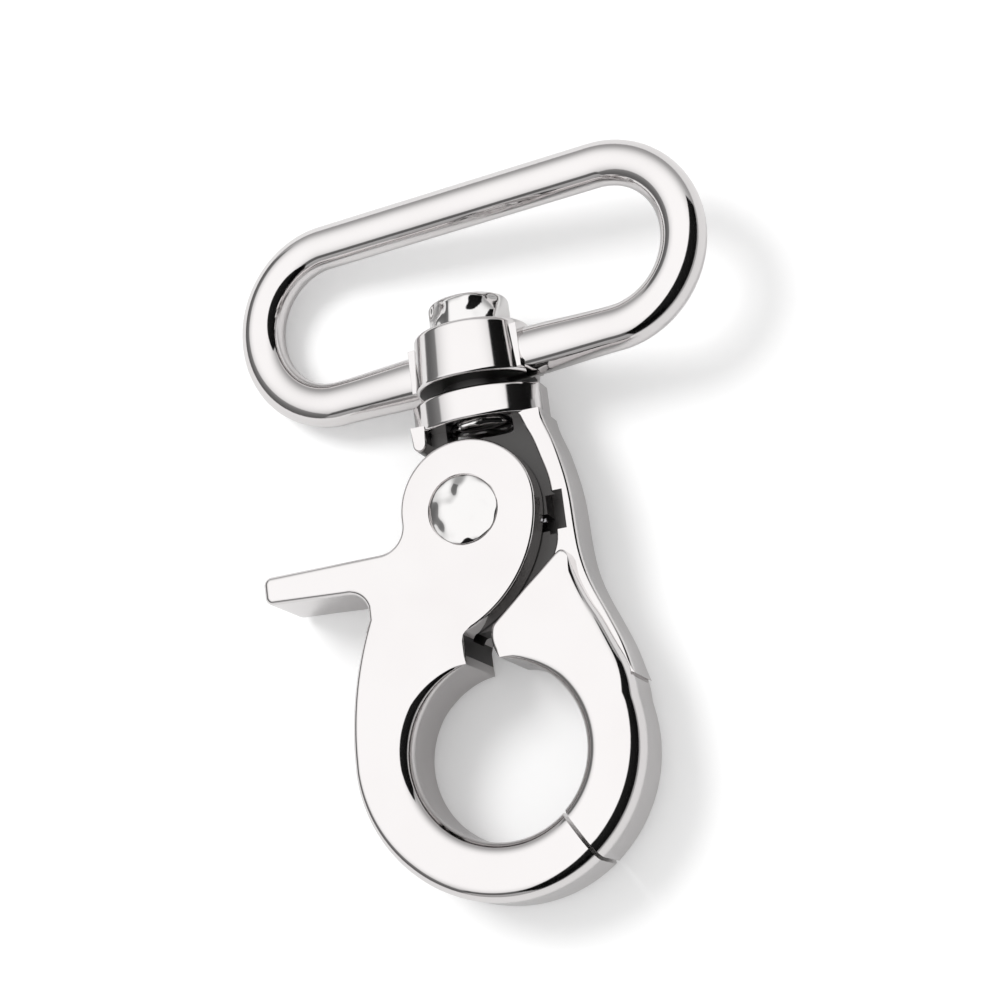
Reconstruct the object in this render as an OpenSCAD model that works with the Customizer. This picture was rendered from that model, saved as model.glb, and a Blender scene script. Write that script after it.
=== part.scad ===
// Swivel snap hook with a thumb lever and an oval strap loop.
// It lies on its side: Z is up, Y runs along the swivel axis towards the loop.
// Outlines are drawn about the point where the swivel axis passes the lever pivot.

/* [Strap loop] */
// Longest clear width for the strap
strap_w = 38; // [36:0.5:40]
// Clear height between the two long bars, away from the hub
strap_gap = 10.6; // [10:0.1:11.4]
// Diameter of the loop's bar
bar_d = 4; // [3.6:0.1:4.2]
// Diameter of the lower bar where it joins the hub
root_d = 4.4; // [4.2:0.1:4.6]

/* [Swivel] */
// Diameter of the hub at its lower rim
hub_d = 10.9; // [10.4:0.1:11.2]
// Diameter of the hub at its upper rim
hub_top_d = 10.3; // [9.8:0.1:10.4]
// Height of the hub along the swivel axis
hub_h = 5; // [4.8:0.1:5.2]
// Diameter of the swivel rivet's shank
swivel_d = 4; // [3.6:0.1:4.2]
// Diameter of the swivel rivet's head
swivel_head_d = 7.1; // [6.6:0.1:7.4]
// Height of the swivel rivet's head
swivel_head_h = 2.9; // [2.4:0.1:3.2]

/* [Hook] */
// Thickness of the hook ring and of the lever
hook_t = 8; // [7.6:0.1:8.4]
// Diameter of the closed ring's hole
eye_d = 15.2; // [14.8:0.1:15.4]
// Outer diameter of the ring
ring_d = 25.2; // [25:0.1:25.6]
// Thickness of the spine that joins the collar to the ring
spine_t = 5.5; // [5.1:0.1:6]
// Thickness of the web between the lever's cheeks
web_t = 2.6; // [2.4:0.1:2.8]
// Width of the collar that the swivel rivet stands in
collar_w = 11.6; // [11.4:0.1:11.8]

/* [Lever] */
// Diameter of the lever's round head
head_d = 12; // [11.8:0.1:12.2]
// Distance from the swivel axis to the end of the thumb arm
thumb_reach = 20.5; // [19:0.1:22]
// Diameter of the pivot rivet's shank
pivot_d = 3; // [2.6:0.1:3.2]
// Diameter of the pivot rivet's heads
pivot_head_d = 6; // [5.6:0.1:6.2]
// Wire diameter of the lever's spring
wire_d = 0.5; // [0.4:0.05:0.55]

/* [Hidden] */
$fn = 64;

// Places in the hook's plane, from the pivot's level on the swivel axis
pivot = [-1.6, 0];
eye = [-1.4, -20.6];
head_c = [-1.25, 0.15];
loop_y = 20.8;
hub_y = 11.36;
collar_y = [7.7, 10.5];

eye_r = eye_d / 2;
ring_r = ring_d / 2;
hub_r = hub_d / 2;
bar_r = bar_d / 2;
root_r = root_d / 2;
pivot_r = pivot_d / 2;
swivel_r = swivel_d / 2;
half_t = hook_t / 2;
bend_r = (strap_gap + bar_r + root_r) / 2;
loop_half = strap_w / 2 + bar_r;
bend_x = loop_half - bend_r;

// The loop has dropped until the end of its bar lies on the table beside the hub
loop_drop = asin((hub_r - bar_r) / loop_half);

// Box of the whole part, used to stand it on the origin
far_y = loop_y + bend_r + bar_r;
near_y = eye[1] - ring_r;
mid_y = (far_y + near_y) / 2;

// Clearances
run_gap = 0.06;
side_gap = 0.2;
tip_gap = 0.35;
tip_step = atan(tip_gap / eye_r);
cheek_z = web_t / 2 + side_gap;
head_sink = 0.6;

// Angles round the eye where the two halves of the ring end
tip_in = -49.2;
tip_out = -53.2;
notch_angle = 79.4;

function unit(v) = v / norm(v);
function left(v) = [-v[1], v[0]];
function arc(c, r, a0, a1, n) = [for (i = [0:n]) c + r * [cos(a0 + (a1 - a0) * i / n), sin(a0 + (a1 - a0) * i / n)]];

// Inward direction at point i of a closed outline that runs anticlockwise
function inward(p, i) =
    let (n = len(p),
         a = unit(p[i] - p[(i + n - 1) % n]),
         b = unit(p[(i + 1) % n] - p[i]),
         m = left(unit(a + b)))
    m / max(0.6, m * left(a));

// Blank of a plate with rounded edges: edge[i] is the edge radius at outline point i.
// The rounding runs on a little past both faces, where level() or a slab cuts it off.
module blank(outline, t, edge, steps) {
    n = len(outline);
    over = 0.05;
    last_a = 90 * (steps - 1) / steps;
    over_in = over * cos(last_a) / (1 - sin(last_a));
    dir = [for (i = [0:n - 1]) inward(outline, i)];
    rings = concat([for (j = [0:steps]) [-1, 90 - 90 * j / steps]],
                   [for (j = [0:steps]) [1, 90 * j / steps]]);
    pts = [for (q = rings) for (i = [0:n - 1])
        let (e = edge[i], past = q[1] == 90,
             s = outline[i] + dir[i] * (past ? e + over_in : e * (1 - cos(q[1]))))
        [s[0], s[1], q[0] * (past ? t / 2 + over : t / 2 - e * (1 - sin(q[1])))]];
    last = len(rings) - 1;
    walls = [for (k = [0:last - 1]) for (i = [0:n - 1]) for (h = [0, 1])
        let (a = k * n + i, b = k * n + (i + 1) % n, c = b + n, d = a + n)
        h == 0 ? [a, d, c] : [a, c, b]];
    floor_face = [[for (i = [0:n - 1]) i]];
    roof_face = [[for (i = [0:n - 1]) last * n + n - 1 - i]];
    polyhedron(points = pts, faces = concat(walls, floor_face, roof_face), convexity = 8);
}

// Cuts a blank off level with both faces
module level(t) {
    difference() {
        children();
        for (z = [-t / 2 - 1, t / 2]) translate([-30, -40, z]) cube([60, 60, 1]);
    }
}

// Slab of thickness t, wider than the part
module slab(t) {
    translate([-50, -50, -t / 2]) cube([100, 100, t]);
}

// Turned piece whose profile is drawn as [radius, place along the swivel axis]
module turned_y(profile) {
    rotate([-90, 0, 0]) rotate_extrude() polygon([for (q = profile) [q[0], q[1]]]);
}

// Hole or pin along the swivel axis from y0 to y1
module along_y(r, y0, y1) {
    translate([0, y0, 0]) rotate([-90, 0, 0]) cylinder(r = r, h = y1 - y0);
}

// Puts a piece drawn in the hook's plane on the table, centred over the origin
module laid() {
    translate([0, -mid_y, hub_r]) children();
}

// Outline of the lever: head, thumb arm and the long half of the ring
arm_top = -2.45;
arm_low = [-4.95, -5.3];
arm_fillet = 2.3;
root_fillet = 1.85;
flank_r = 30.2;
cheek_arc_r = 11.45;
cheek_arc_c = [-6.7, 0.35];
notch_x = -3;
lever_parts = [
    arc(head_c, head_d / 2, 2, 178, 20),
    arc([head_c[0] - head_d / 2 - arm_fillet, arm_top + arm_fillet], arm_fillet, 0, -90, 6),
    arc([0.8 - thumb_reach, arm_top - 0.8], 0.8, 92, 170, 4),
    arc([0.8 - thumb_reach, arm_low[0] + 0.8], 0.8, 190, 266, 4),
    arc([-13, arm_low[1] - root_fillet], root_fillet, 92, 10, 6),
    [for (y = [-8.6:-3:-17.6]) [eye[0] - ring_r + flank_r - sqrt(pow(flank_r, 2) - pow(y - eye[1], 2)), y]],
    arc(eye, ring_r, 180, 360 + tip_out - tip_step * eye_r / ring_r, 26),
    arc(eye, eye_r, 360 + tip_in - tip_step, 102.2, 30),
    [[notch_x, -11.2], [-2.7, -10.45]],
    arc(cheek_arc_c, cheek_arc_r, -69, -4, 14)
];
lever_edges = [0.4, 0.4, 0.5, 0.5, 0.5, 0.6, 1.1, 1.0, 0.3, 0.3];

// Outline of the short half of the ring with its pointed shoulder
shoulder = [[11.1, -17.4], [10.6, -15.2], [9.8, -13.3], [8.9, -11.1], [8.1, -9.5], [7.5, -8], [7.2, -6.8], [7, -5.7]];
jaw_parts = [
    [[6.7, -5.1], [6.3, -5], [5.8, -5.3], [2.8, -7.7], [0.2, -9.8]],
    [[-0.4, -10.4], [-0.6, -11.4], [-0.4, -12.4]],
    arc(eye, eye_r, notch_angle, tip_in, 26),
    arc(eye, ring_r, tip_out, 12, 14),
    shoulder
];
jaw_edges = [0.3, 0.3, 1.0, 1.1, 0.7];

// Outline of the spine, from under the collar down into the ring
spine_out = [[11, -16], [10.3, -13.4], [9.5, -11], [8.6, -8.7], [8, -6.9], [7.7, -5.1], [7.65, -3.3],
             [7.6, -0.7], [7.45, 1.1], [7.15, 2.9], [6.75, 4.7], [6.1, 6.4], [5.8, 8]];
spine_in = [[3.8, 8], [4.5, 6.2], [4.9, 5.2], [5.4, 3.4], [5.75, 2], [5.9, 0.6], [5.9, -3.4], [5.4, -5],
            [4, -7.5], [7, -14]];
spine = concat(spine_out, spine_in);

// Spring pocket in the spine: low corner and high corner, in X and Y
pocket = [[5, -3], [6.9, 0.4]];
pocket_floor = -1;

// Round clearance that the web's boss turns in, inside the lever
boss_r = 5.6;
slot_r = 6.6;

// Torsion spring round the pivot
coil_r = 2.15;
coil_turns = 3;
coil_low = -0.6;
coil_rise = 0.55;
spring_well_r = 2.75;
spring_well_floor = -0.95;

module strap_loop() {
    color("gainsboro") laid() rotate([0, -loop_drop, 0]) difference() {
        union() {
            for (s = [-1, 1]) {
                translate([s * bend_x, loop_y, 0])
                    rotate([0, 0, s > 0 ? -90 : 90])
                        rotate_extrude(angle = 180) translate([bend_r, 0]) circle(r = bar_r);
                translate([s * bend_x, loop_y - bend_r, 0])
                    rotate([0, -s * 90, 0]) cylinder(r1 = bar_r, r2 = root_r, h = bend_x - 3);
                // Flat shoulder where the bar enters the hub
                translate([s * 4.9 - 0.9, hub_y + 0.25, -2.4]) cube([1.8, hub_h - 0.6, 4.8]);
            }
            translate([-bend_x, loop_y + bend_r, 0]) rotate([0, 90, 0]) cylinder(r = bar_r, h = 2 * bend_x);
            turned_y([[0, hub_y], [hub_r - 0.3, hub_y], [hub_r, hub_y + 0.3],
                      [hub_top_d / 2, hub_y + hub_h - 0.4], [hub_top_d / 2 - 0.4, hub_y + hub_h],
                      [0, hub_y + hub_h]]);
            // Seat that the hub turns on, just clear of the collar
            along_y(3.2, collar_y[1] + 0.1, hub_y + 0.5);
        }
        along_y(swivel_r + run_gap, collar_y[1] - 1, hub_y + hub_h + 1);
    }
}

module swivel_rivet() {
    top = hub_y + hub_h + 0.08;
    r = swivel_head_d / 2;
    color("silver") laid() turned_y([
        [0, collar_y[0] - 0.7], [2.4, collar_y[0] - 0.7], [2.9, collar_y[0] - 0.4], [2.9, collar_y[0]],
        [swivel_r, collar_y[0]], [swivel_r, top], [r, top], [r, top + swivel_head_h - 0.5],
        [r - 0.15, top + swivel_head_h - 0.15], [r - 0.5, top + swivel_head_h], [0, top + swivel_head_h]]);
}

module hook_body() {
    color("lightgray") laid() difference() {
        union() {
            intersection() {
                blank([for (part = jaw_parts) for (q = part) q], hook_t,
                      [for (k = [0:len(jaw_parts) - 1]) for (q = jaw_parts[k]) jaw_edges[k]], 3);
                slab(hook_t);
            }
            intersection() {
                blank(spine, spine_t, [for (q = spine) 0.4], 2);
                slab(spine_t);
            }
            web();
            collar();
        }
        // Bores of the pivot and of the swivel rivet
        translate([pivot[0], pivot[1], -half_t]) cylinder(r = pivot_r + run_gap, h = hook_t);
        along_y(swivel_r, collar_y[0] - 1, collar_y[1] + 1);
        // Room for the rivet's peened end
        along_y(3.3, collar_y[0] - 1.2, collar_y[0]);
        // Well of the spring's coil, the grooves of its legs and the pocket of the fixed one
        translate([pivot[0], pivot[1], spring_well_floor]) cylinder(r = spring_well_r, h = half_t);
        translate([pivot[0], -2.7, spring_well_floor]) cube([pocket[0][0] - pivot[0] + 0.5, 1.5, half_t]);
        translate([pivot[0] - boss_r - 1, -2.7, spring_well_floor]) cube([boss_r + 1, 1.1, half_t]);
        translate([pocket[0][0], pocket[0][1], pocket_floor])
            cube([pocket[1][0] - pocket[0][0], pocket[1][1] - pocket[0][1], half_t]);
    }
}

// Tongue between the lever's cheeks, with a round boss for the pivot
module web() {
    translate([0, 0, -web_t / 2]) linear_extrude(web_t) {
        translate(pivot) circle(r = boss_r);
        polygon([[-4.2, 8], [5.5, 8], [6.6, 2], [6.6, -6], [3, -9], [-0.2, -10.2], [-2.4, -10.3],
                 [pivot[0] - boss_r * sin(45), pivot[1] - boss_r * sin(45)],
                 [pivot[0] - boss_r * cos(20), pivot[1] + boss_r * sin(20)]]);
    }
}

// Collar under the hub: bowed front and back, flat sides, and a short leg on the left
module collar() {
    bow_r = 6.7;
    depth = 4.5;
    h = collar_y[1] - collar_y[0];
    intersection() {
        translate([0, 0, depth - bow_r]) along_y(bow_r, collar_y[0], collar_y[1]);
        translate([0, 0, bow_r - depth]) along_y(bow_r, collar_y[0], collar_y[1]);
        translate([-collar_w / 2, collar_y[0], -depth]) cube([collar_w, h, 2 * depth]);
    }
    translate([-collar_w / 2, collar_y[0] - 1, -spine_t / 2]) cube([1.3, 1.5, spine_t]);
    translate([0.65 - collar_w / 2, collar_y[0] - 1, -spine_t / 2]) cylinder(r = 0.65, h = spine_t);
}

module trigger_lever() {
    color("whitesmoke") laid() difference() {
        level(hook_t) blank([for (part = lever_parts) for (q = part) q], hook_t,
            [for (k = [0:len(lever_parts) - 1]) for (q = lever_parts[k]) lever_edges[k]], 3);
        // Slot between the cheeks, open to the right for the web
        translate([0, 0, -cheek_z]) linear_extrude(2 * cheek_z) {
            translate(pivot) circle(r = slot_r);
            polygon([[pivot[0] - slot_r * sin(45), pivot[1] - slot_r * sin(45)], [-2.85, -11], [-2, -12], [3, -12],
                     [9, -6], [9, 9], [-4, 9]]);
        }
        rivet_bore();
    }
}

// Bore of the pivot rivet through both cheeks, with a seat for each of its heads
module rivet_bore() {
    seat_r = pivot_head_d / 2 + 0.1;
    seat_z = half_t - head_sink;
    translate([pivot[0], pivot[1], 0]) rotate_extrude() polygon([
        [0, -half_t - 1], [seat_r, -half_t - 1], [seat_r, -seat_z], [pivot_r, -seat_z],
        [pivot_r, seat_z], [seat_r, seat_z], [seat_r, half_t + 1], [0, half_t + 1]]);
}

module pivot_rivet() {
    r = pivot_head_d / 2;
    low = half_t - head_sink;
    crown = [for (i = [0:5]) [r * cos(i * 18), half_t - 0.1 + 0.35 * sin(i * 18)]];
    color("silver") laid() translate([pivot[0], pivot[1], 0]) {
        for (s = [0, 1]) mirror([0, 0, s]) rotate_extrude() polygon(concat([[0, low - 0.5], [pivot_r, low - 0.5],
            [pivot_r, low], [r, low]], crown));
        translate([0, 0, -low]) cylinder(r = pivot_r, h = 2 * low);
    }
}

// Tube of round wire along a list of points
module wire(route, r, sides = 8) {
    n = len(route);
    dirs = [for (i = [0:n - 1]) unit(route[min(i + 1, n - 1)] - route[max(i - 1, 0)])];
    pts = [for (i = [0:n - 1])
        let (d = dirs[i], u = unit(cross(d, [0, 0, 1])), v = cross(d, u))
        for (k = [0:sides - 1]) route[i] + r * (u * cos(k * 360 / sides) + v * sin(k * 360 / sides))];
    walls = [for (i = [0:n - 2]) for (k = [0:sides - 1]) for (h = [0, 1])
        let (a = i * sides + k, b = i * sides + (k + 1) % sides, c = b + sides, d = a + sides)
        h == 0 ? [a, b, c] : [a, c, d]];
    ends = [[for (k = [0:sides - 1]) sides - 1 - k], [for (k = [0:sides - 1]) (n - 1) * sides + k]];
    polyhedron(points = pts, faces = concat(walls, ends), convexity = 8);
}

module lever_spring() {
    steps = 20;
    total = coil_turns * steps;
    coil = [for (i = [0:total]) let (a = 270 + 360 * i / steps)
        [pivot[0] + coil_r * cos(a), pivot[1] + coil_r * sin(a), coil_low + coil_rise * i / steps]];
    // One leg runs to the left and bears on the lever, the other ends in the spine's pocket
    bearing_leg = [[-7.5, -coil_r, coil_low], [-4, -coil_r, coil_low]];
    fixed_leg = [for (q = [[1.5, 0], [3.6, 0.35], [4.6, 0.45], [5.3, 0.1], [5.6, -0.6]])
        [q[0], q[1] - coil_r, coil_low + coil_rise * coil_turns]];
    color("dimgray") laid() wire(concat(bearing_leg, coil, fixed_leg), wire_d / 2);
}

strap_loop();
swivel_rivet();
hook_body();
trigger_lever();
pivot_rivet();
lever_spring();
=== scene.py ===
import math

import bmesh
import bpy
from mathutils import Matrix, Vector


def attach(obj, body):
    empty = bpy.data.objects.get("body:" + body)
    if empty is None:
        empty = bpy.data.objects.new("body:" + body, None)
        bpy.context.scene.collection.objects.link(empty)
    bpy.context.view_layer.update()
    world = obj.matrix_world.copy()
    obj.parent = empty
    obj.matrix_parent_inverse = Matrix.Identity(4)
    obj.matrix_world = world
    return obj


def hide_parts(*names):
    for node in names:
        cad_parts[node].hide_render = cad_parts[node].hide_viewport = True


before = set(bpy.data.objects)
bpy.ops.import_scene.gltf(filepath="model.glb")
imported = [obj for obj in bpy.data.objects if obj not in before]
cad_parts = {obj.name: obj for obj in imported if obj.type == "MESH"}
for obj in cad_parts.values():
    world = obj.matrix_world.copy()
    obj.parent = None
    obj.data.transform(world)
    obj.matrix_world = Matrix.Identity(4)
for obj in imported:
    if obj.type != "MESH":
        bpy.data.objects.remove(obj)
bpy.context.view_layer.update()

mm = 0.001
hubRadius = 5.45      # the swivel axis lies this high above the table
midY = -1.5           # middle of the part along the swivel axis, from the pivot's level
pivot = (-1.6, 0.0)
eye = (-1.4, -20.6)

print("frame loaded:", len(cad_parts), "nodes")


# Small helpers for outlines and meshes

def arcPoints(centre, radius, start, end, count):
    angles = [math.radians(start + (end - start) * i / count) for i in range(count + 1)]
    return [(centre[0] + radius * math.cos(a), centre[1] + radius * math.sin(a)) for a in angles]


def smoothPoints(points, perSpan=6):
    # Catmull-Rom curve through the given points
    ends = [points[0]] + list(points) + [points[-1]]
    out = []
    for i in range(1, len(ends) - 2):
        p0, p1, p2, p3 = [Vector(ends[i + k]) for k in (-1, 0, 1, 2)]
        for k in range(perSpan):
            t = k / perSpan
            q = 0.5 * ((2 * p1) + (p2 - p0) * t + (2 * p0 - 5 * p1 + 4 * p2 - p3) * t * t
                       + (3 * p1 - p0 - 3 * p2 + p3) * t * t * t)
            out.append((q.x, q.y))
    out.append(tuple(points[-1]))
    return out


def meshObject(name, verts, faces):
    mesh = bpy.data.meshes.new(name)
    mesh.from_pydata(verts, [], faces)
    mesh.update()
    obj = bpy.data.objects.new(name, mesh)
    bpy.context.scene.collection.objects.link(obj)
    return obj


def placeOnTable(obj):
    # From millimetres about the pivot's level to metres in the shared frame
    obj.data.transform(Matrix.Scale(mm, 4) @ Matrix.Translation((0, -midY, hubRadius)))
    obj.data.update()


def joinOutline(parts, edges):
    points = []
    radii = []
    for part, edge in zip(parts, edges):
        for i, p in enumerate(part):
            if points and (Vector(points[-1]) - Vector(p)).length < 0.02:
                continue
            points.append(tuple(p))
            radii.append(edge[0] + (edge[1] - edge[0]) * i / max(1, len(part) - 1))
    return points, radii


def softPlate(name, points, radii, low, high, steps=7):
    # Plate between two heights whose rims are rounded by each point's own radius
    count = len(points)
    pts = [Vector(p) for p in points]
    inward = []
    corners = []
    for i in range(count):
        a = (pts[i] - pts[i - 1]).normalized()
        b = (pts[(i + 1) % count] - pts[i]).normalized()
        if a.dot(b) < 0.906:
            corners.append(pts[i])
        m = (a + b).normalized()
        m = Vector((-m.y, m.x))
        inward.append(m / max(0.6, m.dot(Vector((-a.y, a.x)))))
    # The rounding dies away towards a sharp corner, or its inner line would cross itself
    radii = [min([r] + [0.03 + 0.5 * (p - c).length for c in corners]) for p, r in zip(pts, radii)]
    verts = []
    rings = [(0, 1 - k / steps) for k in range(steps + 1)] + [(1, k / steps) for k in range(steps + 1)]
    for top, share in rings:
        angle = share * math.pi / 2
        for p, d, r in zip(pts, inward, radii):
            q = p + d * r * (1 - math.cos(angle))
            rise = r * (1 - math.sin(angle))
            verts.append((q.x, q.y, high - rise if top else low + rise))
    faces = []
    for k in range(len(rings) - 1):
        for i in range(count):
            j = (i + 1) % count
            faces.append((k * count + i, k * count + j, (k + 1) * count + j, (k + 1) * count + i))
    faces.append(tuple(reversed(range(count))))
    faces.append(tuple(range((len(rings) - 1) * count, len(rings) * count)))
    return splitCaps(meshObject(name, verts, faces))


def splitCaps(obj):
    # The booleans come out cleaner when no face has more than four corners
    bm = bmesh.new()
    bm.from_mesh(obj.data)
    bmesh.ops.triangulate(bm, faces=[f for f in bm.faces if len(f.verts) > 4])
    bm.to_mesh(obj.data)
    bm.free()
    return obj


def jointCut(ring, side, gap):
    # Everything past the joint of the ring: side 1 is the lever's part, side -1 the short half's
    a = Vector(arcPoints(eye, ring["eyeRadius"], ring["tipIn"], 0, 1)[0])
    b = Vector(arcPoints(eye, ring["ringRadius"], ring["tipOut"], 0, 1)[0])
    along = (b - a).normalized()
    across = Vector((-along.y, along.x))
    a = a - along * 3 - across * gap
    b = b + along * 3 - across * gap
    points = [a, b, b + across * 9 * side, a + across * 9 * side]
    if side < 0:
        points.reverse()
    return plainPlate("jointCut", [tuple(p) for p in points], -6, 6)


def plainPlate(name, points, low, high):
    return softPlate(name, points, [0.0001] * len(points), low, high, 1)


def turnedPiece(name, profile, axis="Y", segments=96):
    # Solid turned about an axis, its profile given as (radius, place along the axis)
    verts = []
    faces = []
    rows = []
    for radius, place in profile:
        if radius < 1e-6:
            rows.append([len(verts)])
            verts.append((0, place, 0))
            continue
        rows.append(list(range(len(verts), len(verts) + segments)))
        for k in range(segments):
            a = 2 * math.pi * k / segments
            verts.append((radius * math.cos(a), place, radius * math.sin(a)))
    for low, high in zip(rows, rows[1:]):
        for k in range(segments):
            n = (k + 1) % segments
            corners = [low[k % len(low)], low[n % len(low)], high[n % len(high)], high[k % len(high)]]
            face = list(dict.fromkeys(corners))
            if len(face) > 2:
                faces.append(face)
    obj = meshObject(name, verts, faces)
    if axis == "Z":
        obj.data.transform(Matrix.Rotation(math.radians(90), 4, "X"))
    bm = bmesh.new()
    bm.from_mesh(obj.data)
    bmesh.ops.recalc_face_normals(bm, faces=bm.faces)
    bm.to_mesh(obj.data)
    bm.free()
    return obj


def combine(target, tool, operation):
    # Boolean of two closed meshes, applied at once; the tool is used up
    mod = target.modifiers.new("cut", "BOOLEAN")
    mod.operation = operation
    mod.solver = "MANIFOLD"
    mod.object = tool
    applyModifiers(target)
    mesh = tool.data
    bpy.data.objects.remove(tool)
    bpy.data.meshes.remove(mesh)
    return target


def applyModifiers(obj):
    graph = bpy.context.evaluated_depsgraph_get()
    graph.update()
    mesh = bpy.data.meshes.new_from_object(obj.evaluated_get(graph))
    obj.modifiers.clear()
    old = obj.data
    obj.data = mesh
    mesh.name = obj.name
    bpy.data.meshes.remove(old)


def shadeSoft(obj, angle=34):
    # Flat faces keep their own normal up to the rim, and roundings run smoothly into them
    bm = bmesh.new()
    bm.from_mesh(obj.data)
    bmesh.ops.remove_doubles(bm, verts=bm.verts, dist=0.000002)
    bmesh.ops.dissolve_degenerate(bm, edges=bm.edges, dist=0.000001)
    limit = math.cos(math.radians(angle))
    normals = []
    bm.verts.ensure_lookup_table()
    near = [[(f.normal.copy(), f.calc_area()) for f in v.link_faces] for v in bm.verts]
    for face in bm.faces:
        face.smooth = True
        for corner in face.loops:
            own = face.normal
            level = Vector()
            upright = Vector()
            mixed = Vector()
            for other, area in near[corner.vert.index]:
                if own.dot(other) < limit:
                    continue
                mixed += other * area
                if abs(other.z) > 0.9998:
                    level += other * area
                elif abs(other.z) < 0.002:
                    upright += other
            best = level if level.length > 0 else upright if upright.length > 0 else mixed
            normals.append(tuple(best.normalized()) if best.length > 0 else tuple(own))
    bm.to_mesh(obj.data)
    bm.free()
    obj.data.normals_split_custom_set(normals)


def finishPiece(obj, material, body, slot, *nodes, recess=None):
    shadeSoft(obj)
    obj.data.materials.clear()
    obj.data.materials.append(material)
    # Faces that the recess test picks get the near-black painted-shade material
    if recess:
        obj.data.materials.append(recessShadeMetal)
        for face in obj.data.polygons:
            c = face.center / mm
            if recess(c.x, c.y + midY, c.z - hubRadius, face.normal):
                face.material_index = 1
    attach(obj, body)
    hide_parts(*nodes)
    print("made", obj.name, len(obj.data.polygons), "faces")


def mathsFor(tree):
    # Gives a function that adds one maths node to the tree
    def maths(operation, a, b=None):
        node = tree.nodes.new("ShaderNodeMath")
        node.operation = operation
        for slot, value in enumerate((a, b)):
            if value is None:
                continue
            if isinstance(value, (int, float)):
                node.inputs[slot].default_value = value
            else:
                tree.links.new(value, node.inputs[slot])
        return node.outputs[0]

    return maths


# Materials

plating = {
    "castColour": (0.715, 0.695, 0.692),
    "rivetColour": (0.72, 0.71, 0.705),
    # The recess colour below is painted shade: near black, standing in for the shade that falls in the
    # hollows between parts
    "recessShadeColour": (0.085, 0.083, 0.082),
    "wireColour": (0.42, 0.42, 0.44),
    "castPolish": (0.05, 0.10),        # least and greatest roughness
    "rivetPolish": (0.05, 0.12),
    "recessShadePolish": (0.3, 0.45),
    "wirePolish": (0.22, 0.34),
    "castWave": (160, 0.000012),       # scale and height of the waves, then of the grain
    "rivetWave": (330, 0.0016),
    "recessShadeWave": (500, 0.00001),
    "wireWave": (900, 0.000002),
    "castGrain": (2600, 0.0000012),
    "rivetGrain": (3200, 0.0000015),
    "recessShadeGrain": (2600, 0.000004),
    "wireGrain": (5200, 0.000002),
}


def platedMetal(name, colour, polish, wave, grain):
    mat = bpy.data.materials.new(name)
    mat.use_nodes = True
    nodes = mat.node_tree.nodes
    links = mat.node_tree.links
    shader = nodes["Principled BSDF"]
    shader.inputs["Metallic"].default_value = 1.0
    place = nodes.new("ShaderNodeTexCoord")
    cloud = nodes.new("ShaderNodeTexNoise")
    cloud.inputs["Scale"].default_value = 110
    cloud.inputs["Detail"].default_value = 3
    links.new(place.outputs["Object"], cloud.inputs["Vector"])
    tint = nodes.new("ShaderNodeValToRGB")
    tint.color_ramp.elements[0].color = (colour[0] * 0.975, colour[1] * 0.97, colour[2] * 0.97, 1)
    tint.color_ramp.elements[1].color = (*colour, 1)
    tint.color_ramp.elements[0].position = 0.3
    tint.color_ramp.elements[1].position = 0.62
    links.new(cloud.outputs["Fac"], tint.inputs["Fac"])
    links.new(tint.outputs["Color"], shader.inputs["Base Color"])
    rub = nodes.new("ShaderNodeMapRange")
    rub.inputs["To Min"].default_value = polish[0]
    rub.inputs["To Max"].default_value = polish[1]
    links.new(cloud.outputs["Fac"], rub.inputs["Value"])
    links.new(rub.outputs["Result"], shader.inputs["Roughness"])
    swell = nodes.new("ShaderNodeTexNoise")
    swell.inputs["Scale"].default_value = wave[0]
    swell.inputs["Detail"].default_value = 1
    pits = nodes.new("ShaderNodeTexNoise")
    pits.inputs["Scale"].default_value = grain[0]
    pits.inputs["Detail"].default_value = 2
    links.new(place.outputs["Object"], swell.inputs["Vector"])
    links.new(place.outputs["Object"], pits.inputs["Vector"])
    waveBump = nodes.new("ShaderNodeBump")
    waveBump.inputs["Distance"].default_value = wave[1]
    grainBump = nodes.new("ShaderNodeBump")
    grainBump.inputs["Distance"].default_value = grain[1]
    links.new(swell.outputs["Fac"], waveBump.inputs["Height"])
    links.new(pits.outputs["Fac"], grainBump.inputs["Height"])
    links.new(waveBump.outputs["Normal"], grainBump.inputs["Normal"])
    links.new(grainBump.outputs["Normal"], shader.inputs["Normal"])
    return mat


castNickel = platedMetal("cast nickel plate", plating["castColour"], plating["castPolish"],
                         plating["castWave"], plating["castGrain"])
rivetNickel = platedMetal("rivet nickel plate", plating["rivetColour"], plating["rivetPolish"],
                          plating["rivetWave"], plating["rivetGrain"])
# Painted shade: a near-black, rougher metal for recessed faces, standing in for the shade that falls there
recessShadeMetal = platedMetal("recess painted shade", plating["recessShadeColour"], plating["recessShadePolish"],
                          plating["recessShadeWave"], plating["recessShadeGrain"])
springSteel = platedMetal("spring wire steel", plating["wireColour"], plating["wirePolish"],
                          plating["wireWave"], plating["wireGrain"])
print("materials ready")


# Strap loop: an oval bar swept along its path, and the hub

loopSizes = {
    "centreY": 20.8,
    "straight": 13.6,       # half length of the straight bars
    "bend": 7.4,            # radius of the bar's centre line at the ends
    "barRadius": 1.98,
    "rootRadius": 2.22,     # at the hub
    "swellFull": 5.0,       # the lower bar is thickest within this distance of the middle
    "drop": math.degrees(math.asin((hubRadius - 2.0) / 21.0)),
    "hubY": 11.36,
    "hubHeight": 5.0,
    "hubTop": 5.15,
    "seatRadius": 3.2,
    "boreRadius": 2.06,
}


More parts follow.
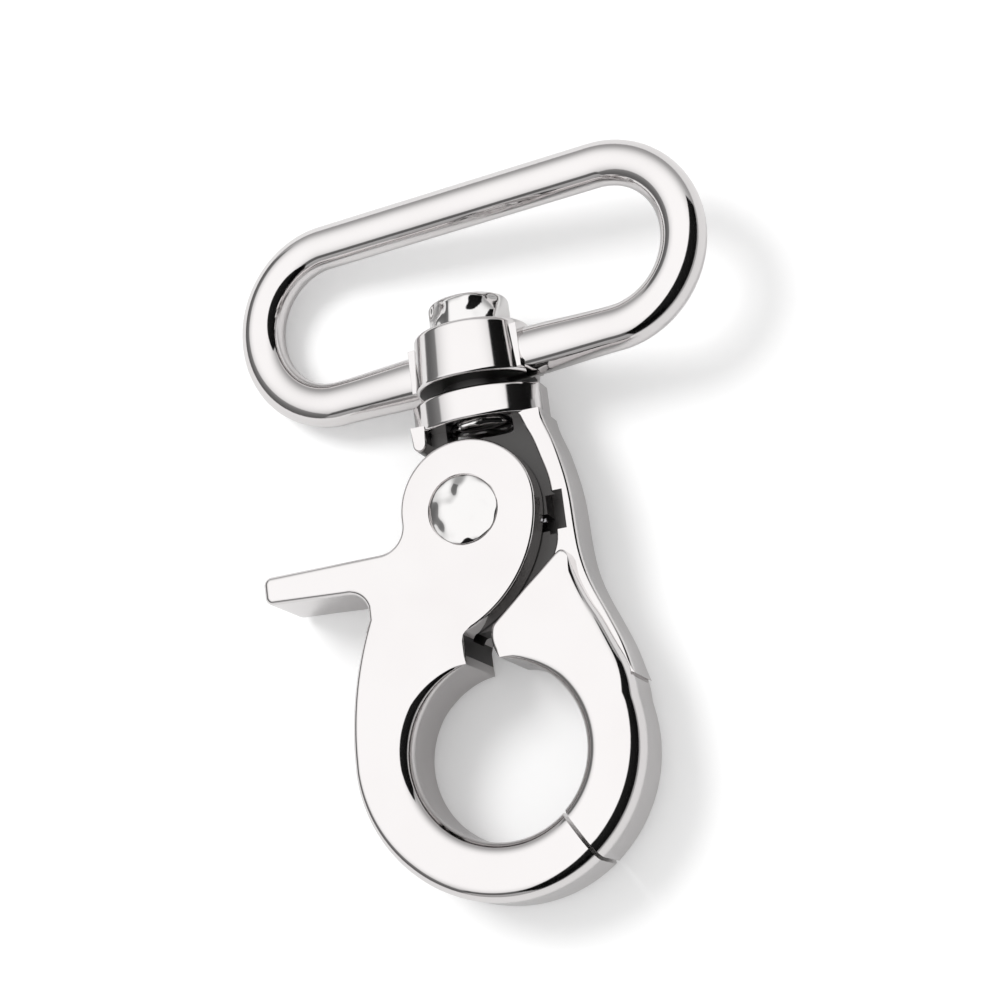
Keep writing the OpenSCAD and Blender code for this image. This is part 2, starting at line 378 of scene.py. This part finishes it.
def loopBarTree(sizes):
    tree = bpy.data.node_groups.new("oval bar", "GeometryNodeTree")
    face = tree.interface
    face.new_socket("Geometry", in_out="OUTPUT", socket_type="NodeSocketGeometry")
    inputs = {}
    for label, kind in (("Straight half", "NodeSocketFloat"), ("Bend radius", "NodeSocketFloat"),
                        ("Bar radius", "NodeSocketFloat"), ("Root radius", "NodeSocketFloat"),
                        ("Rings", "NodeSocketInt"), ("Finish", "NodeSocketMaterial")):
        inputs[label] = face.new_socket(label, in_out="INPUT", socket_type=kind)
    nodes = tree.nodes
    links = tree.links
    entry = nodes.new("NodeGroupInput")
    leave = nodes.new("NodeGroupOutput")

    maths = mathsFor(tree)
    # A rectangle whose corners are rounded by the full bend
    frameCurve = nodes.new("GeometryNodeCurvePrimitiveQuadrilateral")
    width = maths("MULTIPLY", maths("ADD", entry.outputs["Straight half"], entry.outputs["Bend radius"]), 2)
    height = maths("MULTIPLY", entry.outputs["Bend radius"], 2)
    links.new(width, frameCurve.inputs["Width"])
    links.new(height, frameCurve.inputs["Height"])
    fillet = nodes.new("GeometryNodeFilletCurve")
    fillet.mode = "POLY"
    fillet.inputs["Count"].default_value = 48
    fillet.inputs["Limit Radius"].default_value = True
    links.new(frameCurve.outputs["Curve"], fillet.inputs["Curve"])
    links.new(entry.outputs["Bend radius"], fillet.inputs["Radius"])
    even = nodes.new("GeometryNodeResampleCurve")
    links.new(fillet.outputs["Curve"], even.inputs["Curve"])
    links.new(entry.outputs["Rings"], even.inputs["Count"])
    # The lower bar swells towards the hub
    spot = nodes.new("GeometryNodeInputPosition")
    apart = nodes.new("ShaderNodeSeparateXYZ")
    links.new(spot.outputs[0], apart.inputs[0])
    reach = nodes.new("ShaderNodeMapRange")
    reach.interpolation_type = "SMOOTHSTEP"
    links.new(maths("ABSOLUTE", apart.outputs["X"]), reach.inputs["Value"])
    links.new(entry.outputs["Straight half"], reach.inputs["From Min"])
    reach.inputs["From Max"].default_value = sizes["swellFull"]
    lower = maths("LESS_THAN", apart.outputs["Y"], 0)
    grow = maths("SUBTRACT", maths("DIVIDE", entry.outputs["Root radius"], entry.outputs["Bar radius"]), 1)
    swell = maths("ADD", maths("MULTIPLY", maths("MULTIPLY", reach.outputs["Result"], lower), grow), 1)
    thick = nodes.new("GeometryNodeSetCurveRadius")
    links.new(even.outputs["Curve"], thick.inputs["Curve"])
    links.new(swell, thick.inputs["Radius"])
    section = nodes.new("GeometryNodeCurvePrimitiveCircle")
    section.inputs["Resolution"].default_value = 40
    links.new(entry.outputs["Bar radius"], section.inputs["Radius"])
    sweep = nodes.new("GeometryNodeCurveToMesh")
    links.new(thick.outputs["Curve"], sweep.inputs["Curve"])
    links.new(section.outputs["Curve"], sweep.inputs["Profile Curve"])
    if "Scale" in sweep.inputs:
        links.new(swell, sweep.inputs["Scale"])
    real = nodes.new("GeometryNodeRealizeInstances")
    finish = nodes.new("GeometryNodeSetMaterial")
    links.new(sweep.outputs["Mesh"], real.inputs["Geometry"])
    links.new(real.outputs["Geometry"], finish.inputs["Geometry"])
    links.new(entry.outputs["Finish"], finish.inputs["Material"])
    links.new(finish.outputs["Geometry"], leave.inputs["Geometry"])
    return tree, {label: socket.identifier for label, socket in inputs.items()}


def grownObject(name, tree, ids, values):
    # Runs a node tree on an empty mesh and keeps the plain result
    obj = meshObject(name, [], [])
    mod = obj.modifiers.new(tree.name, "NODES")
    mod.node_group = tree
    for label, value in values.items():
        mod[ids[label]] = value
    applyModifiers(obj)
    return obj


# Faces of the hub's seat under the collar get the near-black painted shade
def inHubSeatShade(x, y, z, normal):
    return y < loopSizes["hubY"] + 0.02 and math.hypot(x, z) < 5.1


def makeStrapLoop(sizes):
    tree, ids = loopBarTree(sizes)
    loop = grownObject("strapLoop", tree, ids, {
        "Straight half": sizes["straight"], "Bend radius": sizes["bend"],
        "Bar radius": sizes["barRadius"], "Root radius": sizes["rootRadius"],
        "Rings": 300, "Finish": castNickel})
    loop.data.transform(Matrix.Translation((0, sizes["centreY"], 0)))
    y0 = sizes["hubY"]
    y1 = y0 + sizes["hubHeight"]
    r0 = hubRadius
    r1 = sizes["hubTop"]
    lip = [(r0 - 0.3 + 0.3 * math.sin(a), y0 + 0.3 - 0.3 * math.cos(a)) for a in quarter(5)]
    brim = [(r1 - 0.45 + 0.45 * math.cos(a), y1 - 0.45 + 0.45 * math.sin(a)) for a in quarter(6)]
    hub = turnedPiece("hub", [(0, y0 - 0.76), (sizes["seatRadius"] - 0.1, y0 - 0.76),
                              (sizes["seatRadius"], y0 - 0.66), (sizes["seatRadius"], y0)]
                      + lip + brim + [(0, y1)])
    for side in (-1, 1):
        x = 4.75 * side
        pad, radii = joinOutline([[(x - 0.6, y0 + 0.35), (x + 0.6, y0 + 0.35), (x + 0.6, y1 - 0.75),
                                   (x - 0.6, y1 - 0.75)]], [(0.3, 0.3)])
        combine(hub, softPlate("pad", pad, radii, -2.25, 2.25), "UNION")
    combine(loop, hub, "UNION")
    bore = turnedPiece("bore", [(0, y0 - 3), (sizes["boreRadius"], y0 - 3), (sizes["boreRadius"], y1 + 3),
                                (0, y1 + 3)])
    combine(loop, bore, "DIFFERENCE")
    loop.data.transform(Matrix.Rotation(math.radians(-sizes["drop"]), 4, "Y"))
    placeOnTable(loop)
    finishPiece(loop, castNickel, "loop", "plated_casting", "strap_loop", recess=inHubSeatShade)


def quarter(steps):
    return [math.pi / 2 * k / steps for k in range(steps + 1)]


makeStrapLoop(loopSizes)


# Swivel rivet: a headed stud, peened under the collar

swivelSizes = {"shank": 1.99, "head": 3.55, "headLow": 16.44, "headHigh": 19.34, "rim": 0.55,
               "collarLow": 7.7, "peen": 2.9}


def makeSwivelRivet(sizes):
    r = sizes["head"]
    e = sizes["rim"]
    top = sizes["headHigh"]
    rim = [(r - e + e * math.cos(a), top - e - 0.12 + e * math.sin(a)) for a in quarter(8)]
    low = sizes["collarLow"]
    peen = [(2.1 + (sizes["peen"] - 2.1) * math.sin(a), low - 0.05 - 0.6 * math.cos(a)) for a in quarter(6)]
    rivet = turnedPiece("swivelRivet", [(0, low - 0.65)] + peen + [
        (sizes["shank"], low - 0.01), (sizes["shank"], sizes["headLow"]), (r - 0.1, sizes["headLow"]),
        (r, sizes["headLow"] + 0.1)] + rim + [(1.2, top - 0.03), (0, top)])
    placeOnTable(rivet)
    finishPiece(rivet, rivetNickel, "hook", "plated_rivet", "swivel_rivet")


makeSwivelRivet(swivelSizes)


# Hook body: short half of the ring, spine, web and collar in one casting

bodySizes = {
    "halfThick": 4.0,
    "spineHalf": 2.75,
    "webHalf": 1.3,
    "eyeRadius": 7.6,
    "ringRadius": 12.6,
    "tipIn": -49.2,
    "tipOut": -53.2,
    "notch": 79.4,
    "collar": (7.7, 10.5),
    "collarHalf": 5.8,
    "collarBow": 6.7,
    "collarDepth": 4.5,
    "pocket": (5.0, -3.0, 6.9, 0.4),
    "pocketFloor": -1.0,
    "pivotBore": 1.56,
    "well": 2.75,
    "wellFloor": -0.95,
    "swivelBore": 2.0,
    "peenRoom": (3.3, 1.2),     # radius and depth of the room for the peened end
    "grooveLow": -2.7,
    "pocketGroove": (5.5, -1.2),
    "leverGroove": (-8.2, -1.6),
}


def boxTool(x0, y0, x1, y1, z0, z1):
    return plainPlate("box", [(x0, y0), (x1, y0), (x1, y1), (x0, y1)], z0, z1)


def inBodyRecessShade(x, y, z, normal):
    # The web between the cheeks, the bores and the pocket get painted shade: a near-black material standing
    # in for the shade that falls in these recesses
    outside = x > 5.5 and normal.x > 0.2
    return abs(z) < 1.31 and y > -10.6 and y < 8.1 and x < 7.0 and not outside


def makeHookBody(sizes):
    shoulder = smoothPoints([(10.93, -17.9), (10.85, -16.6), (10.5, -15.1), (9.8, -13.3), (8.9, -11.1),
                             (8.1, -9.5), (7.5, -8.0), (7.15, -6.8), (6.95, -5.7)])
    nose = smoothPoints([(6.95, -5.7), (6.72, -5.15), (6.3, -4.98), (5.8, -5.25)], 4)
    slope = [(5.8, -5.25), (4.4, -6.4), (2.8, -7.65), (1.2, -9.0), (0.15, -9.85)]
    notch = smoothPoints([(0.15, -9.85), (-0.4, -10.4), (-0.6, -11.4), (-0.42, -12.4), (-0.05, -13.1)], 4)
    parts = [nose, slope, notch, arcPoints(eye, sizes["eyeRadius"], sizes["notch"], 40, 24),
             arcPoints(eye, sizes["eyeRadius"], 40, sizes["tipIn"] - 22, 66),
             arcPoints(eye, sizes["ringRadius"], sizes["tipOut"] - 16, 11, 60), shoulder]
    edges = [(0.45, 0.35), (0.35, 0.35), (0.35, 0.4), (0.45, 1.2), (1.2, 1.5), (2.0, 1.9), (1.9, 0.5)]
    points, radii = joinOutline(parts, edges)
    body = softPlate("hookBody", points, radii, -sizes["halfThick"], sizes["halfThick"], 12)
    combine(body, jointCut(sizes, -1, 0.0), "DIFFERENCE")

    outer = smoothPoints([(11.0, -16.2), (10.35, -13.4), (9.5, -11.0), (8.6, -8.7), (8.05, -6.9),
                          (7.75, -5.1), (7.65, -3.3), (7.6, -0.7), (7.45, 1.1), (7.15, 2.9), (6.75, 4.7),
                          (6.2, 6.4), (5.85, 7.85)])
    inner = smoothPoints([(3.9, 7.85), (4.45, 6.3), (4.9, 5.2), (5.4, 3.4), (5.75, 2.0), (5.9, 0.6),
                          (5.9, -3.4), (5.4, -5.0)])
    points, radii = joinOutline([outer, inner, [(4.0, -7.6), (7.0, -14.0)]],
                                [(0.45, 0.45), (0.25, 0.25), (0.25, 0.25)])
    combine(body, softPlate("spine", points, radii, -sizes["spineHalf"], sizes["spineHalf"]), "UNION")

    bossPoints = arcPoints(pivot, 5.6, 160, 225, 24)
    web = bossPoints + [(-2.4, -10.3), (-0.2, -10.2), (3, -9), (6.6, -6), (6.6, 2), (5.5, 8), (-4.2, 8)]
    combine(body, plainPlate("web", web, -sizes["webHalf"], sizes["webHalf"]), "UNION")

    # Collar: bowed front and back between flat sides, drawn in X and Z and stood along Y
    bow = sizes["collarBow"]
    deep = sizes["collarDepth"]
    half = sizes["collarHalf"]
    corner = math.degrees(math.acos(half / bow))
    front = arcPoints((0, deep - bow), bow, corner, 180 - corner, 40)
    back = [(-x, -z) for x, z in front]
    points, radii = joinOutline([front, back], [(0.35, 0.35), (0.35, 0.35)])
    collar = softPlate("collar", points, radii, 0, sizes["collar"][1] - sizes["collar"][0])
    collar.data.transform(Matrix.Translation((0, sizes["collar"][0], 0))
                          @ Matrix(((1, 0, 0, 0), (0, 0, 1, 0), (0, -1, 0, 0), (0, 0, 0, 1))))
    combine(body, collar, "UNION")
    leg = [(-half, 8.3), (-half, 6.9)] + arcPoints((-half + 0.65, 6.75), 0.65, 180, 360, 10)
    leg += [(-half + 1.3, 8.3)]
    combine(body, softPlate("leg", leg, [0.25] * len(leg), -sizes["spineHalf"], sizes["spineHalf"]), "UNION")

    # Bores, the spring's well and the pocket in the spine
    bore = sizes["pivotBore"]
    well = sizes["well"]
    floor = sizes["wellFloor"]
    cuts = [turnedPiece("pivotBore", [(0, -6), (bore, -6), (bore, 6), (0, 6)], "Z"),
            turnedPiece("well", [(0, floor), (well, floor), (well, 6), (0, 6)], "Z")]
    for cut in cuts:
        cut.data.transform(Matrix.Translation((pivot[0], pivot[1], 0)))
    low = sizes["collar"][0]
    room, depth = sizes["peenRoom"]
    swivel = sizes["swivelBore"]
    cuts.append(turnedPiece("swivelBore", [(0, low - depth), (room, low - depth), (room, low),
                                           (swivel, low), (swivel, low + 5), (0, low + 5)]))
    reach, top = sizes["pocketGroove"]
    cuts.append(boxTool(pivot[0], sizes["grooveLow"], reach, top, floor, 5))
    reach, top = sizes["leverGroove"]
    cuts.append(boxTool(reach, sizes["grooveLow"], pivot[0], top, floor, 5))
    x0, y0, x1, y1 = sizes["pocket"]
    cuts.append(boxTool(x0, y0, x1, y1, sizes["pocketFloor"], 5))
    for cut in cuts:
        combine(body, cut, "DIFFERENCE")
    placeOnTable(body)
    finishPiece(body, castNickel, "hook", "plated_casting", "hook_body", recess=inBodyRecessShade)


makeHookBody(bodySizes)


# Trigger lever: two cheeks, thumb arm and the long half of the ring

leverSizes = {
    "halfThick": 4.0,
    "cheekLow": 1.5,
    "headCentre": (-1.25, 0.15),
    "headRadius": 6.0,
    "armTop": -2.45,
    "armLow": (-4.95, -5.3),
    "armEnd": -20.5,
    "armCorner": 0.8,
    "topFillet": 2.3,
    "rootFillet": 1.85,
    "flank": 30.2,
    "tipGap": 0.35,
    "shank": 1.5,
    "headSeat": 3.12,
    "headSink": 0.6,
    "slot": 6.6,
}


# Faces in the slot between the lever's cheeks get the near-black painted shade
def inLeverSlotShade(x, y, z, normal):
    inside = math.hypot(x - pivot[0], y - pivot[1]) < 6.7 or x > -3.2
    return abs(z) < 1.52 and inside and y > -12.2 and math.hypot(x - eye[0], y - eye[1]) > 8.5


def makeLever(sizes, ring):
    cx, cy = sizes["headCentre"]
    r = sizes["headRadius"]
    t = sizes["topFillet"]
    k = sizes["armCorner"]
    end = sizes["armEnd"]
    eyeR = ring["eyeRadius"]
    ringR = ring["ringRadius"]
    flankX = eye[0] - ringR + sizes["flank"]
    flank = []
    for i in range(24):
        y = -7.9 - 0.5 * i
        flank.append((flankX - math.sqrt(sizes["flank"] ** 2 - (y - eye[1]) ** 2), y))
    parts = [
        arcPoints((cx, cy), r, -1, 180, 90),
        arcPoints((cx - r - t, sizes["armTop"] + t), t, 0, -90, 24),
        arcPoints((end + k, sizes["armTop"] - k), k, 92, 170, 10),
        arcPoints((end + k, sizes["armLow"][0] + k), k, 190, 267, 10),
        arcPoints((-13.0, sizes["armLow"][1] - sizes["rootFillet"]), sizes["rootFillet"], 93, 12, 20),
        flank,
        arcPoints(eye, ringR, 180, 225, 34),
        arcPoints(eye, ringR, 225, 376 + ring["tipOut"], 110),
        arcPoints(eye, eyeR, 382 + ring["tipIn"], 185, 110),
        arcPoints(eye, eyeR, 185, 145, 30),
        arcPoints(eye, eyeR, 145, 102.2, 34),
        [(-3.0, -12.4), (-3.0, -11.2), (-2.85, -10.7), (-2.7, -10.45)],
        arcPoints((-6.7, 0.35), 11.45, -69, -3, 50),
    ]
    edges = [(0.35, 0.35), (0.35, 0.45), (0.6, 0.7), (0.7, 0.6), (0.55, 0.5), (0.5, 0.7), (0.7, 1.3),
             (1.3, 2.0), (1.6, 1.8), (1.8, 1.6), (1.6, 0.35), (0.25, 0.25), (0.3, 0.35)]
    points, radii = joinOutline(parts, edges)
    lever = softPlate("triggerLever", points, radii, -sizes["halfThick"], sizes["halfThick"], 12)
    combine(lever, jointCut(ring, 1, sizes["tipGap"]), "DIFFERENCE")
    slot = arcPoints(pivot, sizes["slot"], 120, 225, 48)
    slot += [(-2.85, -11), (-2, -12), (3, -12), (9, -6), (9, 9), (-4, 9)]
    combine(lever, plainPlate("slot", slot, -sizes["cheekLow"], sizes["cheekLow"]), "DIFFERENCE")
    seat = sizes["headSeat"]
    sunk = sizes["halfThick"] - sizes["headSink"]
    bore = turnedPiece("bore", [(0, -6), (seat, -6), (seat, -sunk), (sizes["shank"], -sunk),
                                (sizes["shank"], sunk), (seat, sunk), (seat, 6), (0, 6)], "Z")
    bore.data.transform(Matrix.Translation((pivot[0], pivot[1], 0)))
    combine(lever, bore, "DIFFERENCE")
    placeOnTable(lever)
    finishPiece(lever, castNickel, "lever", "plated_casting", "trigger_lever", recess=inLeverSlotShade)


makeLever(leverSizes, bodySizes)


# Pivot rivet: shank through both cheeks, a shallow crown on each head

pivotSizes = {"shank": 1.49, "head": 3.02, "sunk": 3.4, "rimHigh": 3.84, "crown": 0.41}


def makePivotRivet(sizes):
    r = sizes["head"]
    crown = [(r * math.cos(a), sizes["rimHigh"] + sizes["crown"] * math.sin(a)) for a in quarter(14)]
    half = [(sizes["shank"], 0), (sizes["shank"], sizes["sunk"]), (r, sizes["sunk"])] + crown
    profile = [(x, -y) for x, y in reversed(half)] + half[1:]
    rivet = turnedPiece("pivotRivet", profile, "Z")
    rivet.data.transform(Matrix.Translation((pivot[0], pivot[1], 0)))
    placeOnTable(rivet)
    finishPiece(rivet, rivetNickel, "lever", "plated_rivet", "pivot_rivet")


makePivotRivet(pivotSizes)


# Lever spring: coils round the pivot, one leg towards the lever and one in the spine's pocket

springSizes = {"coil": 2.15, "wire": 0.25, "turns": 3, "rise": 0.55, "low": -0.6}


def springTree():
    tree = bpy.data.node_groups.new("torsion spring", "GeometryNodeTree")
    face = tree.interface
    face.new_socket("Geometry", in_out="OUTPUT", socket_type="NodeSocketGeometry")
    inputs = {}
    for label, kind in (("Coil radius", "NodeSocketFloat"), ("Wire radius", "NodeSocketFloat"),
                        ("Turns", "NodeSocketFloat"), ("Height", "NodeSocketFloat"),
                        ("Leg start", "NodeSocketVector"), ("Leg end", "NodeSocketVector"),
                        ("Hook start", "NodeSocketVector"), ("Hook end", "NodeSocketVector"),
                        ("Finish", "NodeSocketMaterial")):
        inputs[label] = face.new_socket(label, in_out="INPUT", socket_type=kind)
    nodes = tree.nodes
    links = tree.links
    entry = nodes.new("NodeGroupInput")
    leave = nodes.new("NodeGroupOutput")
    spiral = nodes.new("GeometryNodeCurveSpiral")
    spiral.inputs["Resolution"].default_value = 48
    for target in ("Start Radius", "End Radius"):
        links.new(entry.outputs["Coil radius"], spiral.inputs[target])
    links.new(entry.outputs["Turns"], spiral.inputs["Rotations"])
    links.new(entry.outputs["Height"], spiral.inputs["Height"])
    turned = nodes.new("GeometryNodeTransform")
    turned.inputs["Rotation"].default_value = (0, 0, -math.pi / 2)
    links.new(spiral.outputs["Curve"], turned.inputs["Geometry"])
    gather = nodes.new("GeometryNodeJoinGeometry")
    links.new(turned.outputs["Geometry"], gather.inputs["Geometry"])
    for start, end in (("Leg start", "Leg end"), ("Hook start", "Hook end")):
        line = nodes.new("GeometryNodeCurvePrimitiveLine")
        links.new(entry.outputs[start], line.inputs["Start"])
        links.new(entry.outputs[end], line.inputs["End"])
        links.new(line.outputs["Curve"], gather.inputs["Geometry"])
    section = nodes.new("GeometryNodeCurvePrimitiveCircle")
    section.inputs["Resolution"].default_value = 14
    links.new(entry.outputs["Wire radius"], section.inputs["Radius"])
    sweep = nodes.new("GeometryNodeCurveToMesh")
    sweep.inputs["Fill Caps"].default_value = True
    links.new(gather.outputs["Geometry"], sweep.inputs["Curve"])
    links.new(section.outputs["Curve"], sweep.inputs["Profile Curve"])
    real = nodes.new("GeometryNodeRealizeInstances")
    finish = nodes.new("GeometryNodeSetMaterial")
    links.new(sweep.outputs["Mesh"], real.inputs["Geometry"])
    links.new(real.outputs["Geometry"], finish.inputs["Geometry"])
    links.new(entry.outputs["Finish"], finish.inputs["Material"])
    links.new(finish.outputs["Geometry"], leave.inputs["Geometry"])
    return tree, {label: socket.identifier for label, socket in inputs.items()}


def makeSpring(sizes):
    tree, ids = springTree()
    r = sizes["coil"]
    top = sizes["rise"] * sizes["turns"]
    spring = grownObject("leverSpring", tree, ids, {
        "Coil radius": r, "Wire radius": sizes["wire"], "Turns": float(sizes["turns"]), "Height": top,
        "Leg start": (-5.9, -r, 0.0), "Leg end": (0.0, -r, 0.0),
        "Hook start": (0.0, -r, top), "Hook end": (6.4, -r + 0.5, top), "Finish": springSteel})
    spring.data.transform(Matrix.Translation((pivot[0], pivot[1], sizes["low"])))
    placeOnTable(spring)
    finishPiece(spring, springSteel, "hook", "spring_wire", "lever_spring")


makeSpring(springSizes)


# Table, light and camera

tableSizes = {"reach": 0.9, "hubLine": 0.0128, "ringLine": -0.0317, "ringRise": 0.00145}


def makeTable(sizes):
    # The table is tipped so that the hub and the ring's end both touch it
    slope = -sizes["ringRise"] / (sizes["hubLine"] - sizes["ringLine"])
    reach = sizes["reach"]
    verts = []
    for x, y in ((-reach, -reach), (reach, -reach), (reach, reach), (-reach, reach)):
        verts.append((x, y, slope * (y - sizes["hubLine"]) - 0.00002))
    table = meshObject("table", verts, [(0, 1, 2, 3)])
    mat = bpy.data.materials.new("white table")
    mat.use_nodes = True
    nodes = mat.node_tree.nodes
    links = mat.node_tree.links
    shader = nodes["Principled BSDF"]
    shader.inputs["Base Color"].default_value = (0.88, 0.88, 0.88, 1)
    shader.inputs["Roughness"].default_value = 0.9
    shader.inputs["Specular IOR Level"].default_value = 0.0
    glow = nodes.new("ShaderNodeEmission")
    glow.inputs["Color"].default_value = (1, 1, 1, 1)
    path = nodes.new("ShaderNodeLightPath")
    scale = nodes.new("ShaderNodeMath")
    scale.operation = "MULTIPLY"
    scale.inputs[1].default_value = 0.2
    links.new(path.outputs["Is Camera Ray"], scale.inputs[0])
    links.new(scale.outputs[0], glow.inputs["Strength"])
    both = nodes.new("ShaderNodeAddShader")
    links.new(shader.outputs["BSDF"], both.inputs[0])
    links.new(glow.outputs["Emission"], both.inputs[1])
    links.new(both.outputs["Shader"], nodes["Material Output"].inputs["Surface"])
    table.data.materials.append(mat)


makeTable(tableSizes)

# Dark cards round the white tent: direction, half width, half height and how dark
studio = {
    "ambient": 0.80,
    "gloss": 1.34,
    "low": 0.34,            # brightness at the horizon, in reflections
    "fade": (0.10, 0.86),   # heights between which the tent grows to full white
    "cards": [
        {"to": (0.70, -0.46, 0.55), "wide": 1.9, "high": 0.46, "dark": 0.99},
        {"to": (-0.10, -0.88, 0.40), "wide": 0.60, "high": 0.12, "dark": 0.80},
        {"to": (-0.95, -0.05, 0.26), "wide": 1.10, "high": 0.26, "dark": 0.66},
    ],
}


def makeStudio(plan):
    world = bpy.data.worlds.new("white tent")
    bpy.context.scene.world = world
    world.use_nodes = True
    nodes = world.node_tree.nodes
    links = world.node_tree.links
    back = nodes["Background"]
    place = nodes.new("ShaderNodeTexCoord")

    maths = mathsFor(world.node_tree)

    def along(axis):
        node = nodes.new("ShaderNodeVectorMath")
        node.operation = "DOT_PRODUCT"
        node.inputs[1].default_value = axis
        links.new(place.outputs["Generated"], node.inputs[0])
        return node.outputs["Value"]

    def edge(value, half, soft=0.04):
        node = nodes.new("ShaderNodeMapRange")
        node.interpolation_type = "SMOOTHSTEP"
        node.inputs["From Min"].default_value = half + soft
        node.inputs["From Max"].default_value = half - soft
        links.new(value, node.inputs["Value"])
        return node.outputs["Result"]

    rise = nodes.new("ShaderNodeMapRange")
    rise.interpolation_type = "SMOOTHSTEP"
    rise.inputs["From Min"].default_value = plan["fade"][0]
    rise.inputs["From Max"].default_value = plan["fade"][1]
    rise.inputs["To Min"].default_value = plan["low"]
    links.new(along((0, 0, 1)), rise.inputs["Value"])
    shade = rise.outputs["Result"]
    for card in plan["cards"]:
        to = Vector(card["to"]).normalized()
        side = Vector((0, 0, 1)).cross(to).normalized()
        up = to.cross(side)
        ahead = maths("MAXIMUM", along(to), 0.01)
        u = maths("ABSOLUTE", maths("DIVIDE", along(side), ahead))
        v = maths("ABSOLUTE", maths("DIVIDE", along(up), ahead))
        cover = maths("MULTIPLY", edge(u, card["wide"]), edge(v, card["high"]))
        left = maths("SUBTRACT", 1.0, maths("MULTIPLY", cover, card["dark"]))
        shade = maths("MULTIPLY", shade, left)
    path = nodes.new("ShaderNodeLightPath")
    gloss = maths("MULTIPLY", shade, plan["gloss"])
    mix = nodes.new("ShaderNodeMix")
    mix.data_type = "FLOAT"
    links.new(path.outputs["Is Glossy Ray"], mix.inputs["Factor"])
    mix.inputs["A"].default_value = plan["ambient"]
    links.new(gloss, mix.inputs["B"])
    seen = nodes.new("ShaderNodeMix")
    seen.data_type = "FLOAT"
    links.new(path.outputs["Is Camera Ray"], seen.inputs["Factor"])
    links.new(mix.outputs["Result"], seen.inputs["A"])
    seen.inputs["B"].default_value = 1.0
    links.new(seen.outputs["Result"], back.inputs["Strength"])
    back.inputs["Color"].default_value = (1, 1, 1, 1)


makeStudio(studio)

keyLamp = {"place": (-0.22, 0.20, 0.42), "size": 0.22, "power": 1.1}


def makeLamp(plan):
    data = bpy.data.lights.new("key", "AREA")
    data.shape = "DISK"
    data.size = plan["size"]
    data.energy = plan["power"]
    lamp = bpy.data.objects.new("key", data)
    lamp.location = plan["place"]
    lamp.rotation_euler = (-Vector(plan["place"])).to_track_quat("-Z", "Y").to_euler()
    lamp.visible_glossy = False
    bpy.context.scene.collection.objects.link(lamp)


makeLamp(keyLamp)

cameraPlan = {
    "place": (61.20, -51.33, 213.92),
    "right": (0.94270, -0.12448, -0.30954),
    "up": (0.19157, 0.96156, 0.19673),
    "focal": 2600,       # in pixels of the 984 pixel frame
    "frame": 984,
}


def makeCamera(plan):
    data = bpy.data.cameras.new("camera")
    data.sensor_width = 36
    data.lens = plan["focal"] / plan["frame"] * data.sensor_width
    data.clip_start = 0.01
    camera = bpy.data.objects.new("camera", data)
    right = Vector(plan["right"]).normalized()
    up = Vector(plan["up"])
    up = (up - right * up.dot(right)).normalized()
    back = right.cross(up)
    turn = Matrix((right, up, back)).transposed().to_4x4()
    camera.matrix_world = Matrix.Translation(Vector(plan["place"]) * mm) @ turn
    bpy.context.scene.collection.objects.link(camera)
    bpy.context.scene.camera = camera


makeCamera(cameraPlan)
bpy.context.scene.view_settings.view_transform = "Standard"
print("studio ready")
